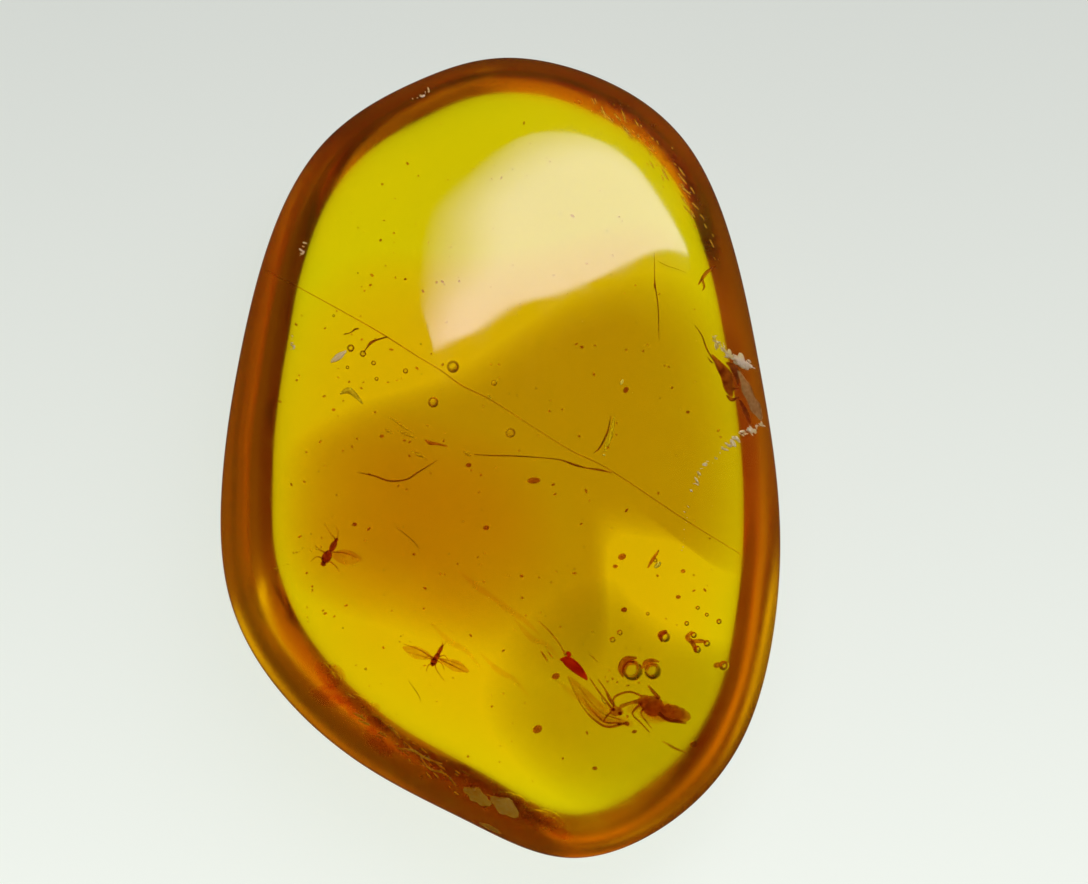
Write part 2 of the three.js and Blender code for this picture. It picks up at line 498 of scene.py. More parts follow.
def stone_shell():
    """Rings over the flat, up the back by turn, then over the dome by turn."""
    turns = math.pi / 2 * np.arange(1, FACE_RINGS + 1) / FACE_RINGS
    shares = np.sin(turns) ** (2 / FACE_POWER)
    rings = []
    for share in FLAT_SHARE * np.arange(1, FLAT_RINGS + 1) / FLAT_RINGS:
        x, y = level_ring(share)
        rings.append(np.stack([x, y, 0 * x], 1))
    for turn, share in zip(turns, FLAT_SHARE + (1 - FLAT_SHARE) * shares):
        x, y = level_ring(share)
        left = height_left(turn, outline_angle)
        z = GIRDLE_HEIGHT * (1 - left) + BACK_UNEVENNESS * waves(y, -x) * left * (1 - left)
        rings.append(np.stack([x, y, np.maximum(z, 0)], 1))
    for turn, share in zip(turns[-2::-1], shares[-2::-1]):
        x, y = level_ring(share)
        left = height_left(turn, outline_angle)
        rings.append(np.stack([x, y, GIRDLE_HEIGHT + (CROWN - GIRDLE_HEIGHT + waves(x, y)) * left], 1))
    crown = np.array([0, 0, float(dome_height(0.0, 0.0))])
    return closed_rings(np.array(rings), np.zeros(3), crown)


stone = piece("stone", [stone_shell()] + bubbles, amber)
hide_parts("amber")

# %% [markdown]
# ## Sheets of painted shade and a warm tint
#
# The stone holds four flat tinted sheets. The two dusky ones and the orange one are painted shade:
# darker zones seen through the stone. The warm one tints most of the stone more orange. Each is a
# flat lens that bends nothing. Its skin takes a share of the light instead of its thickness, so that
# light that runs sideways through the stone isn't lost in it, and the share fades to none at the rim.


# %% A tinted lens, for painted shade and tint
def tint_and_shade_sheet(outline_points, middle, depth, thickness, edge, softness):
    """Two faces a small way apart: half-thickness = thickness / 2 (1 - s^edge)^softness at a share s
    of the way out from the middle to a closed outline, all of which shows from the middle. Near the
    stone's edge it rises to half of the depth that is left there, and its half-thickness is at most
    a fifth of it, so that it never breaks the skin. Gives the shell and, for each of its points, the
    half-thickness as a share of the greatest."""
    rim = closed_spline(np.array(outline_points, float), 96) - middle
    shares = np.sin(np.linspace(0.06, math.pi / 2, 16))
    half = thickness / 2 * (1 - shares**edge) ** softness
    spots = middle + shares[:, None, None] * rim
    room = dome_height(spots[..., 0], spots[..., 1]) - back_height(spots[..., 0], spots[..., 1])
    depths, halves = np.minimum(depth, 0.5 * room), np.minimum(half[:, None], 0.2 * room)
    lower = np.dstack([spots, depths + halves + THINNEST])
    upper = np.dstack([spots, depths - halves - THINNEST])
    rings = settle(np.concatenate([lower, upper[-2::-1]]))
    first, last = settle([[*middle, depth + thickness / 2], [*middle, depth - thickness / 2]])
    strength = np.concatenate([halves, halves[-2::-1]]).ravel() / (thickness / 2)
    return closed_rings(rings, first, last), np.concatenate([[1], strength, [1]])


def tint_and_shade_material(name, tint):
    """A skin that lets the share tint of the light through, there and back, where it is strongest."""
    material, tree, shader, _ = new_material(name)
    shader.inputs["Transmission Weight"].default_value = 1.0
    shader.inputs["IOR"].default_value = 1.0
    shader.inputs["Roughness"].default_value = 0.0
    strength = tree.nodes.new("ShaderNodeAttribute")
    strength.attribute_name = "strength"
    cloud = spread(tree, noise(tree, 0.35), 1.1, 0.95)
    share = math_node(tree, "MULTIPLY", strength.outputs["Fac"], cloud)
    tree.links.new(ramp(tree, share, [(0, (1, 1, 1)), (1, tint)]), shader.inputs["Base Color"])
    return material


def tint_and_shade_piece(name, shell_and_strength, tint):
    """One flow with the strength of its tint stored at every point."""
    shell, strength = shell_and_strength
    made = piece(name, [shell], tint_and_shade_material(name + "_sheet", tint))
    made.data.attributes.new("strength", "FLOAT", "POINT").data.foreach_set("value", strength)


DUSKY = [(-9.3, -0.8), (-8.2, 1.0), (-6.2, 2.2), (-3.6, 3.0), (-1.0, 4.2), (2.3, 6.4), (5.6, 7.7),
         (8.4, 7.0), (10.0, 3.6), (10.7, -0.6), (10.2, -4.8), (8.0, -3.9), (6.4, -3.4), (4.9, -3.3),
         (4.5, -4.6), (4.6, -6.4), (4.4, -8.4), (3.2, -9.4), (1.0, -9.0), (-1.8, -8.0), (-5.5, -6.9),
         (-9.0, -5.2)]
LOW_DUSKY = [(4.6, -4.9), (5.4, -5.7), (6.4, -6.5), (7.6, -7.1), (9.2, -7.5), (10.3, -8.4),
             (9.7, -10.8), (8.0, -13.0), (5.6, -14.6), (2.8, -14.4), (0.4, -12.4), (-0.8, -9.8),
             (0.6, -7.0), (3.0, -5.2)]
ORANGE = [(-9.6, -0.6), (-8.4, 1.4), (-5.4, 2.3), (-2.2, 1.7), (0.8, 0.6), (2.6, -2.4),
          (2.0, -5.8), (-1.0, -7.8), (-5.0, -7.0), (-9.2, -4.8)]
WARM = [(-9.6, 4.6), (-6.4, 8.4), (-2.0, 8.6), (2.4, 9.2), (6.2, 10.0), (8.6, 7.6), (10.3, 2.0),
        (10.6, -5.0), (9.4, -10.6), (5.4, -14.8), (0.0, -14.0), (-5.2, -11.4), (-8.8, -7.6),
        (-10.4, -0.6)]
# Painted shade in the dusky, low dusky and orange sheets; the warm sheet is a tint.
tint_and_shade_piece("warm_tint", tint_and_shade_sheet(WARM, (0.0, -2.0), 3.0, 1.6, 7.0, 1.2), (1.0, 0.77, 0.4))
tint_and_shade_piece("dusky_painted_shade", tint_and_shade_sheet(DUSKY, (2.2, 0.8), 6.6, 1.6, 7.0, 1.3), (0.68, 0.59, 0.4))
tint_and_shade_piece("low_dusky_painted_shade", tint_and_shade_sheet(LOW_DUSKY, (5.6, -10.4), 5.0, 1.6, 5.0, 1.2), (0.65, 0.64, 0.4))
tint_and_shade_piece("orange_painted_shade", tint_and_shade_sheet(ORANGE, (-3.6, -2.6), 4.7, 1.4, 2.6, 1.2), (0.98, 0.73, 0.3))

# %% [markdown]
# ## Insect bodies and wings
#
# Chitin that has lain in amber is a red-brown film: light comes through the thin parts and the thick
# parts go nearly black. So the bodies let tinted light through, with darker and lighter patches, and
# the wings let most of it through. No air lies between a body and the resin, so its skin hardly bends
# the light.


# %% The insects' finishes
def bumpy(tree, shader, value, depth):
    """Raises the surface by a noise value, depth in metres."""
    node = tree.nodes.new("ShaderNodeBump")
    node.inputs["Distance"].default_value = depth
    tree.links.new(value, node.inputs["Height"])
    tree.links.new(node.outputs["Normal"], shader.inputs["Normal"])


SEALED_IOR = 1.01
FINE_GRAIN = 0.00002


def chitin(name, dark, light, transmission, rough, spots, losses=(900, 4000, 9000)):
    """Tinted, part see-through shell with patches of two shades and a fine grain, filled with a
    stuff that absorbs: losses are what each colour loses per metre."""
    material, tree, shader, output = new_material(name)
    cloud = noise(tree, spots, 4.0)
    tree.links.new(ramp(tree, cloud, [(0.35, dark), (0.65, light)]), shader.inputs["Base Color"])
    shader.inputs["Transmission Weight"].default_value = transmission
    shader.inputs["IOR"].default_value = SEALED_IOR
    tree.links.new(spread(tree, cloud, rough - 0.1, rough + 0.1), shader.inputs["Roughness"])
    bumpy(tree, shader, cloud, FINE_GRAIN)
    absorb(tree, output, losses, density=10000.0)
    return material


body_finish = chitin("red_brown_chitin", (0.5, 0.22, 0.05), (1.0, 0.75, 0.4), 0.94, 0.5, 3.5,
                     (450, 1500, 5000))
limb_finish = chitin("limb_chitin", (0.42, 0.17, 0.02), (0.75, 0.4, 0.08), 0.88, 0.4, 5.0,
                     (600, 2400, 8000))
dark_finish = chitin("dark_chitin", (0.3, 0.07, 0.02), (0.7, 0.25, 0.06), 0.88, 0.35, 5.0)
wing_finish = chitin("wing_film", (0.85, 0.6, 0.25), (0.98, 0.86, 0.55), 0.97, 0.25, 2.0, (100, 400, 900))
stain_finish = chitin("stain", (0.96, 0.88, 0.7), (1.0, 0.97, 0.9), 1.0, 0.2, 3.0, (300, 1100, 4000))

# %% [markdown]
# ## The largest insect
#
# It lies on its side near the lower right: a small head, a thread-like neck, a heavy thorax and a
# rounded, ringed abdomen. One feeler arches back over the neck, and the legs are folded or broken
# off. A faint brown haze clings to it, so that no outline of it is sharp.

# %% Model the largest insect
DEEP = 3.4
abdomen = egg(7.22, -10.62, DEEP, 0.72, 0.36, lean=-14, blunt=-0.1, count=44, ripples=6, ripple=0.05)
thorax = egg(6.3, -10.28, DEEP, 0.5, 0.42, lean=-24, blunt=0.15)
shoulder = egg(6.02, -10.1, DEEP - 0.1, 0.3, 0.27, lean=-10)
head = egg(4.84, -10.52, DEEP, 0.3, 0.21, lean=-12, blunt=-0.15)
neck = carried([(5.9, -10.08, DEEP, 0.13), (5.45, -10.16, DEEP, 0.07), (5.0, -10.32, DEEP, 0.09)], 20)
piece("large_insect_body", [abdomen, thorax, shoulder, head, neck], body_finish)

eyes = [egg(4.7, -10.44, DEEP - 0.17, 0.09, 0.08), egg(4.98, -10.6, DEEP - 0.17, 0.09, 0.08)]
palps = [carried([(4.62, -10.55, DEEP, 0.04), (4.42, -10.72, DEEP, 0.03), (4.3, -10.95, DEEP, 0.02)], 14)]
piece("large_insect_eyes", eyes + palps, dark_finish)

LARGE_LIMBS = [
    [(4.72, -10.32, 3.3, 0.03), (4.77, -9.92, 3.2, 0.045), (5.35, -9.71, 3.1, 0.045),
     (5.9, -9.88, 3.2, 0.04)],
    [(6.6, -9.98, 3.3, 0.09), (6.36, -9.7, 3.1, 0.07), (6.16, -9.46, 3.0, 0.035)],
    [(5.85, -10.2, 3.5, 0.07), (5.5, -10.6, 3.4, 0.035), (5.85, -11.0, 3.4, 0.035),
     (6.22, -11.4, 3.5, 0.018)],
    [(5.98, -10.4, 3.3, 0.06), (5.86, -10.62, 3.2, 0.03), (6.12, -11.0, 3.2, 0.026),
     (6.3, -11.22, 3.2, 0.014)],
    [(6.6, -10.6, 3.1, 0.08), (6.95, -10.86, 3.0, 0.07), (7.35, -10.93, 3.0, 0.075),
     (7.74, -11.02, 3.1, 0.03)],
    [(4.6, -10.35, 3.4, 0.05), (4.3, -9.95, 3.2, 0.035), (4.02, -9.58, 3.1, 0.03),
     (3.72, -9.12, 3.0, 0.02)],
    [(4.75, -10.3, 3.3, 0.06), (4.55, -9.98, 3.1, 0.075), (4.36, -9.6, 3.0, 0.03),
     (4.08, -9.2, 2.9, 0.02)],
    [(6.75, -11.76, 3.3, 0.014), (7.0, -11.9, 3.2, 0.035), (7.28, -12.06, 3.2, 0.045),
     (7.74, -12.22, 3.3, 0.014)],
]
limbs = [carried(rows, 34, 10) for rows in LARGE_LIMBS]
crumbs = [egg(4.96, -11.03, 3.2, 0.1, 0.06, 20), egg(5.27, -11.03, 3.1, 0.11, 0.09, -30),
          egg(5.58, -11.36, 3.1, 0.11, 0.07, 15)]
piece("large_insect_limbs", limbs + crumbs, limb_finish)
smears = [
    carried([(5.1, -11.0, 3.5, 0.1), (4.5, -11.02, 3.5, 0.2), (3.95, -10.65, 3.4, 0.17),
             (3.55, -10.2, 3.4, 0.06)], 24, 12),
    egg(6.7, -10.5, DEEP + 0.5, 1.0, 0.42, lean=-16),
]
smears += [egg(4.5, -10.45, 3.4, 0.5, 0.2, -35, thin=0.6), egg(5.15, -10.95, 3.4, 0.42, 0.2, -20, thin=0.6),
           egg(5.6, -10.35, 3.4, 0.4, 0.22, 30, thin=0.6), egg(6.3, -10.7, 3.4, 0.6, 0.3, -15, thin=0.6)]
piece("large_insect_haze", smears, stain_finish)

# %% [markdown]
# ## A wing
#
# One long wing trails away to the left. A wing could be a single sheet, but a sheet has no inside to
# tint. So it is a blade of two skins that nearly touch, and its veins are fine limbs laid along it.


# %% Model the trailing wing
def wing(rows):
    """A blade of two skins at most three hundredths of a millimetre apart, wide where its rows say."""
    return carried(rows, 40, 18, thin=0.05)


trailing = wing([(5.2, -10.95, 3.5, 0.05), (4.5, -10.85, 3.4, 0.2), (3.95, -10.35, 3.3, 0.3),
                 (3.5, -9.85, 3.2, 0.26), (3.05, -9.3, 3.1, 0.12), (2.82, -9.05, 3.1, 0.03)])
veins = [
    [(5.25, -11.0, 3.45, 0.05), (4.44, -11.16, 3.4, 0.05), (3.82, -10.78, 3.3, 0.04),
     (3.42, -10.3, 3.2, 0.022), (3.12, -9.75, 3.1, 0.016), (2.82, -9.1, 3.1, 0.012)],
    [(5.0, -10.85, 3.4, 0.03), (4.3, -10.62, 3.3, 0.018), (3.75, -10.12, 3.2, 0.014),
     (3.25, -9.45, 3.1, 0.01)],
    [(4.9, -11.0, 3.4, 0.04), (4.35, -10.95, 3.3, 0.03), (3.85, -10.5, 3.2, 0.016),
     (3.45, -9.95, 3.1, 0.01)],
]
piece("large_insect_wing", [trailing], wing_finish)
piece("large_insect_veins", [carried(rows, 40, 8) for rows in veins], limb_finish)

# %% [markdown]
# ## The midge
#
# A biting midge with its wings spread: a dark head and humped thorax, a slim ringed abdomen pointing
# up, thin legs, and two long clear wings whose front veins are the darkest thing about them.

# %% Model the midge
MIDGE = 4.6
midge_body = [
    egg(-2.74, -8.46, MIDGE, 0.16, 0.14, lean=50), egg(-2.63, -8.27, MIDGE - 0.05, 0.2, 0.12, lean=62),
    egg(-2.48, -7.98, MIDGE, 0.27, 0.085, lean=62, blunt=-0.2, count=40, ripples=7, ripple=0.07),
    egg(-2.8, -8.58, MIDGE - 0.02, 0.07, 0.08, lean=45),
]
piece("midge_body", midge_body, dark_finish)
MIDGE_LIMBS = [
    [(-2.7, -8.5, 4.6, 0.035), (-2.66, -8.72, 4.5, 0.02), (-2.5, -9.0, 4.5, 0.014),
     (-2.28, -9.28, 4.6, 0.008)],
    [(-2.78, -8.5, 4.6, 0.03), (-2.98, -8.62, 4.5, 0.018), (-3.05, -8.85, 4.5, 0.012)],
    [(-2.62, -8.4, 4.6, 0.03), (-2.4, -8.55, 4.5, 0.018), (-2.3, -8.8, 4.5, 0.01)],
    [(-2.7, -8.3, 4.6, 0.03), (-2.95, -8.22, 4.5, 0.018), (-3.15, -8.36, 4.5, 0.01)],
    [(-2.55, -8.25, 4.6, 0.03), (-2.3, -8.2, 4.5, 0.018), (-2.15, -8.36, 4.5, 0.01)],
    at_depth(4.6, (-2.45, -7.86, 0.016), (-2.38, -7.68, 0.012), (-2.44, -7.52, 0.006)),
    at_depth(4.6, (-2.42, -7.86, 0.016), (-2.28, -7.7, 0.012), (-2.2, -7.6, 0.006)),
]
midge_veins = [
    at_depth(4.5, (-2.75, -8.35, 0.03), (-3.3, -7.98, 0.022), (-3.98, -7.72, 0.01)),
    at_depth(4.5, (-2.75, -8.38, 0.02), (-3.3, -8.2, 0.012), (-3.85, -8.05, 0.007)),
    at_depth(4.5, (-2.5, -8.35, 0.03), (-1.95, -8.62, 0.022), (-1.35, -8.92, 0.01)),
    at_depth(4.5, (-2.5, -8.32, 0.02), (-1.95, -8.46, 0.012), (-1.45, -8.66, 0.007)),
]
piece("midge_limbs", [carried(rows, 24, 8) for rows in MIDGE_LIMBS + midge_veins], limb_finish)
midge_wings = [
    wing(at_depth(4.5, (-2.72, -8.36, 0.04), (-3.1, -8.2, 0.19), (-3.55, -8.05, 0.25),
                       (-4.02, -7.86, 0.05))),
    wing(at_depth(4.5, (-2.52, -8.34, 0.04), (-2.15, -8.5, 0.18), (-1.75, -8.66, 0.23),
                       (-1.3, -8.86, 0.05))),
]
piece("midge_wings", midge_wings, wing_finish)

# %% [markdown]
# ## The third insect
#
# Near the left edge lies a stouter gnat, seen end on, with one wing out to the right and its feelers
# up. Most of it shows as a dark clot, because light has to go through the whole length of its body.

# %% Model the gnat
GNAT = 3.6
gnat_body = [
    egg(-7.18, -4.1, GNAT, 0.3, 0.2, lean=62, blunt=-0.1), egg(-6.92, -3.66, GNAT, 0.26, 0.13, lean=62),
    egg(-7.33, -4.4, GNAT, 0.1, 0.12, lean=60), egg(-6.8, -3.42, GNAT, 0.12, 0.08, lean=60),
]
piece("gnat_body", gnat_body, dark_finish)
GNAT_LIMBS = [
    [(-6.8, -3.4, 3.6, 0.02), (-7.05, -3.1, 3.5, 0.014), (-7.32, -2.68, 3.5, 0.007)],
    [(-6.75, -3.4, 3.6, 0.02), (-6.72, -3.05, 3.5, 0.012), (-6.85, -2.8, 3.5, 0.006)],
    [(-7.3, -4.2, 3.6, 0.03), (-7.6, -4.1, 3.5, 0.018), (-7.85, -4.3, 3.5, 0.01)],
    [(-7.2, -3.95, 3.6, 0.03), (-7.5, -3.8, 3.5, 0.018), (-7.7, -3.6, 3.5, 0.01)],
    [(-7.05, -4.3, 3.6, 0.03), (-6.8, -4.5, 3.5, 0.018), (-6.65, -4.75, 3.5, 0.01)],
    at_depth(3.5, (-6.95, -3.9, 0.03), (-6.4, -3.95, 0.02), (-5.9, -4.15, 0.01)),
]
piece("gnat_limbs", [carried(rows, 24, 8) for rows in GNAT_LIMBS], limb_finish)
gnat_wings = [wing(at_depth(3.5, (-7.0, -4.0, 0.06), (-6.6, -4.08, 0.28), (-6.2, -4.15, 0.3),
                                 (-5.75, -4.2, 0.08)))]
piece("gnat_wing", gnat_wings, wing_finish)

# %% [markdown]
# ## Hairs and fibres
#
# A long, faint hair crosses the stone from upper left to lower right, and shorter plant fibres lie
# about it. Most are thinner than a tenth of a millimetre, brown, and never quite straight. Each is a
# narrow profile carried along a curve through a few points, with a knot where a point is wider.

# %% Lay the hairs
hair_finish = chitin("hair", (0.22, 0.07, 0.01), (0.5, 0.2, 0.03), 0.8, 0.5, 2.0)
faint_hair_finish = chitin("faint_hair", (0.5, 0.24, 0.04), (0.8, 0.45, 0.1), 0.9, 0.5, 2.0,
                           (300, 1200, 5000))
LONG_HAIR = [(-9.6, 7.72, 0.8, 0.012), (-8.3, 7.05, 1.2, 0.016), (-5.9, 5.73, 1.7, 0.018),
             (-4.7, 5.03, 1.8, 0.024), (-3.4, 4.2, 1.9, 0.018), (-2.45, 3.63, 2.0, 0.019),
             (-1.58, 3.0, 2.0, 0.022), (-0.41, 2.42, 2.0, 0.016), (1.24, 1.37, 2.1, 0.012),
             (2.9, 0.33, 2.1, 0.015), (4.56, -0.5, 2.1, 0.016), (7.68, -2.57, 1.9, 0.016),
             (10.0, -4.0, 0.9, 0.01)]
HAIRS = [
    at_depth(1.8, (-4.69, 5.02, 0.03), (-5.1, 4.9, 0.04), (-5.35, 4.78, 0.06), (-5.5, 4.6, 0.03),
                  (-5.69, 4.33, 0.02)),
    at_depth(2.4, (-1.06, 0.14, 0.015), (-0.37, 0.1, 0.022), (0.58, 0.08, 0.024), (1.66, 0.01, 0.02),
                  (2.49, -0.08, 0.022), (3.11, -0.29, 0.045), (3.6, -0.42, 0.024), (4.15, -0.5, 0.04),
                  (4.65, -0.62, 0.012)),
    at_depth(0.3, (6.4, 8.5, 0.012), (6.42, 7.5, 0.016), (6.43, 7.14, 0.045), (6.48, 6.9, 0.022),
                  (6.57, 6.18, 0.022), (6.6, 4.9, 0.008)),
    at_depth(1.0, (6.57, 8.15, 0.008), (6.9, 7.98, 0.014), (7.3, 7.85, 0.008), (7.72, 7.69, 0.006)),
    at_depth(2.6, (-4.27, -2.89, 0.008), (-3.8, -3.27, 0.014), (-3.5, -3.55, 0.014),
                  (-3.36, -3.78, 0.008)),
    at_depth(2.6, (-3.8, -9.24, 0.006), (-3.49, -9.67, 0.013), (-3.35, -9.9, 0.013),
                  (-3.29, -10.1, 0.006)),
    at_depth(2.6, (3.68, -8.13, 0.006), (3.9, -8.3, 0.016), (4.07, -8.49, 0.006)),
    at_depth(2.8, (2.6, -7.95, 0.005), (2.7, -8.05, 0.014), (2.76, -8.25, 0.005)),
    at_depth(2.0, (-6.46, 5.13, 0.03), (-6.2, 5.2, 0.02), (-6.0, 5.34, 0.04), (-5.85, 5.36, 0.02)),
    [(8.09, 5.5, 0.9, 0.01), (8.38, 5.07, 0.9, 0.025), (8.62, 4.45, 0.8, 0.03), (9.05, 3.79, 0.6, 0.03)],
    at_depth(0.8, (8.62, 4.17, 0.01), (8.75, 4.0, 0.03), (8.86, 3.93, 0.01)),
    at_depth(3.6, (-5.9, -0.6, 0.01), (-5.2, -0.75, 0.03), (-4.6, -0.95, 0.035), (-3.9, -0.9, 0.03),
                  (-3.4, -0.6, 0.03), (-2.6, -0.1, 0.01)),
]
piece("long_hair", [carried(LONG_HAIR, 120, 8)], faint_hair_finish)
piece("hairs", [carried(rows, 90, 8) for rows in HAIRS], hair_finish)

# %% [markdown]
# ## Finishes of cracks and chips
#
# Where the resin cracked, a film of air lies in the crack and throws the light back, pale or golden. A
# crack could be left as a real gap, but the light would have to find its way through so thin a gap
# many times over. So each crack is a pale shell that is partly see-through, and its colour is painted
# light: a film's pale colour is a painted reflection, and its gold a painted glint.


# %% The finishes of cracks
COARSE_GRAIN = 0.00003


def crack_material(name, dull, bright, alpha, rough, metallic=0.0):
    """Pale shells for broken resin and for painted reflections and glints: two shades in fine patches,
    part see-through. A film of air throws some light back as a mirror does, so it is made a little
    metallic."""
    material, tree, shader, _ = new_material(name)
    cloud = noise(tree, 6.0, 5.0)
    tree.links.new(ramp(tree, cloud, [(0.3, dull), (0.7, bright)]), shader.inputs["Base Color"])
    shader.inputs["Roughness"].default_value = rough
    shader.inputs["Alpha"].default_value = alpha
    shader.inputs["Metallic"].default_value = metallic
    bumpy(tree, shader, cloud, COARSE_GRAIN)
    return material


# White broken resin, and the same white for painted glints.
chip_and_glint_finish = crack_material("white_break_and_painted_glint", (0.95, 0.9, 0.75), (1.0, 1.0, 0.96), 1.0, 0.35)
tongue_finish = crack_material("dull_break", (0.42, 0.22, 0.08), (0.75, 0.52, 0.28), 0.6, 0.6)
# The air film's pale colour is a painted reflection.
mirror_finish = crack_material("air_film_painted_reflection", (0.95, 0.85, 0.55), (1.0, 0.97, 0.85), 0.8, 0.45,
                               metallic=0.1)
# The gold is a painted glint.
gold_glint_finish = crack_material("painted_gold_glint", (0.95, 0.5, 0.03), (1.0, 0.82, 0.14), 0.85, 0.5, metallic=0.1)
patch_finish = crack_material("pale_patch", (0.95, 0.74, 0.16), (1.0, 0.9, 0.34), 0.62, 0.6)
ridge_finish = chitin("brown_break", (0.3, 0.08, 0.01), (0.8, 0.35, 0.05), 0.8, 0.4, 3.0,
                      (4000, 9000, 9900))

# %% [markdown]
# ## The break at the right edge
#
# At the right edge the stone is bruised. White flecks lie along the break, with a dull pale tongue
# and brown scalloped ridges behind them, where dirt has crept in. The flecks are too many to set one
# by one, so they are scattered beside a few lines. Five sides and six rings leave them angular.


# %% Scatter shards along a line
def shards(line, count, size, depth, seed):
    """Angular flakes scattered beside a line of x, y and scatter; each is a short, low-sided egg."""
    dice = np.random.default_rng(seed)
    made = []
    for x, y, width in smooth_line(line, count):
        length = size * min(2.4, math.exp(dice.normal(-0.25, 0.6)))
        x, y = x + width * dice.normal(0, 0.5), y + width * dice.normal(0, 0.5)
        made.append(egg(x, y, depth + dice.uniform(0, 0.2), length, length * dice.uniform(0.3, 0.7),
                        lean=dice.uniform(-75, 15), thin=0.3, count=6, sides=5))
    return made


# %% Model the break
chips = shards([(8.86, 4.98, 0.14), (9.24, 4.5, 0.22), (9.6, 4.27, 0.2)], 24, 0.09, 0.3, 11)
chips += shards([(9.67, 4.2, 0.12), (10.0, 4.02, 0.2), (10.35, 3.8, 0.12)], 30, 0.12, 0.15, 12)
chips += shards([(10.9, 1.45, 0.1), (10.5, 1.15, 0.16), (10.1, 1.0, 0.1)], 13, 0.1, 0.12, 14)
chips += [carried([(9.72, 4.17, 0.12, 0.03), (10.0, 4.03, 0.1, 0.12), (10.3, 3.85, 0.1, 0.07),
                   (10.6, 3.7, 0.1, 0.02)], 20, 8, thin=0.3, ripples=5, ripple=0.4)]
# White chips of the break that are also painted glints.
glint_chips = shards([(9.0, 4.9, 0.12), (9.6, 4.3, 0.18), (10.3, 3.95, 0.14)], 20, 0.08, 0.08, 21)
glint_chips += shards([(10.8, 1.4, 0.1), (10.3, 1.1, 0.16), (9.71, 0.79, 0.14), (9.3, 0.36, 0.1)],
                       20, 0.085, 0.1, 15)
glint_chips += shards([(9.1, 0.15, 0.12), (8.4, -0.45, 0.14), (8.0, -1.33, 0.12)], 14, 0.075, 0.15, 16)
glint_chips += shards([(7.8, -2.0, 0.08), (7.68, -2.9, 0.1), (7.56, -3.8, 0.08)], 12, 0.04, 0.2, 17)
piece("edge_chips", chips, chip_and_glint_finish)
piece("edge_glints", glint_chips, chip_and_glint_finish)
tongue = carried([(9.9, 3.6, 0.3, 0.05), (10.1, 3.2, 0.28, 0.14), (10.3, 2.7, 0.25, 0.2),
                  (10.55, 2.2, 0.2, 0.22), (10.75, 1.8, 0.2, 0.16), (10.82, 1.6, 0.15, 0.06)],
                 36, 12, thin=0.2, ripples=3, ripple=0.15)
piece("edge_tongue", [tongue], tongue_finish)
RIDGES = [
    [(8.8, 4.3, 0.5, 0.02), (9.1, 3.85, 0.5, 0.16), (9.4, 3.4, 0.5, 0.24), (9.5, 2.9, 0.45, 0.2),
     (9.62, 2.55, 0.4, 0.06)],
    at_depth(0.4, (9.4, 3.95, 0.04), (9.7, 3.75, 0.16), (9.85, 3.4, 0.12), (9.9, 3.0, 0.03)),
    at_depth(0.4, (9.35, 2.95, 0.03), (9.6, 2.85, 0.07), (9.9, 2.9, 0.03)),
    at_depth(0.4, (9.4, 2.6, 0.03), (9.62, 2.42, 0.08), (9.9, 2.5, 0.03)),
    [(9.95, 2.4, 0.5, 0.03), (10.2, 1.9, 0.5, 0.1), (10.4, 1.4, 0.4, 0.05)],
]
piece("edge_ridges", [carried(rows, 24, 12, thin=0.4) for rows in RIDGES], ridge_finish)

# %% [markdown]
# ## Cracks inside
#
# Slivers of trapped air lie about the middle, pale as a painted reflection, and one crack has a dark
# edge, a painted shadow, beside its bright one.
# Single white flecks just under the polish are painted glints. The eye finds each of these, so
# they are set one by one.

# %% Model the cracks
SLIVERS = [
    (20, at_depth(2.4, (-4.6, 1.7, 0.01), (-4.1, 1.36, 0.05), (-3.6, 1.02, 0.015))),
    (14, at_depth(2.4, (-4.75, 1.18, 0.02), (-4.6, 1.1, 0.07), (-4.45, 1.04, 0.02))),
    (14, at_depth(2.4, (-4.2, 1.12, 0.02), (-3.9, 0.98, 0.06), (-3.55, 0.84, 0.02))),
    (14, at_depth(2.4, (-3.65, 0.28, 0.02), (-3.4, 0.14, 0.06), (-3.15, 0.02, 0.02))),
    (14, at_depth(2.4, (-1.5, 0.24, 0.03), (-1.35, 0.16, 0.07), (-1.2, 0.08, 0.02))),
    (24, at_depth(2.2, (4.74, 1.7, 0.02), (4.66, 1.2, 0.08), (4.5, 0.75, 0.12), (4.34, 0.25, 0.03))),
    (20, at_depth(1.6, (-6.62, 2.66, 0.04), (-6.3, 2.8, 0.13), (-6.0, 2.6, 0.1), (-5.7, 2.26, 0.03))),
    (14, at_depth(2.9, (4.2, -9.93, 0.02), (4.31, -10.08, 0.07), (4.43, -10.24, 0.02))),
    (14, at_depth(2.2, (-0.5, 2.62, 0.02), (-0.42, 2.53, 0.06), (-0.34, 2.46, 0.02))),
]
# Pale slivers, coloured as a painted reflection of the light an air film throws back.
slivers = [carried(rows, count, 8, thin=0.3) for count, rows in SLIVERS]
piece("inner_slivers", slivers, mirror_finish)
# Painted shadow: the crack's dark edge.
crack_edge = carried(at_depth(2.3, (4.6, 1.74, 0.01), (4.5, 1.2, 0.03), (4.32, 0.75, 0.035),
                                   (4.12, 0.4, 0.03), (3.9, 0.2, 0.01)), 24, 8)
piece("crack_shadow", [crack_edge], hair_finish)
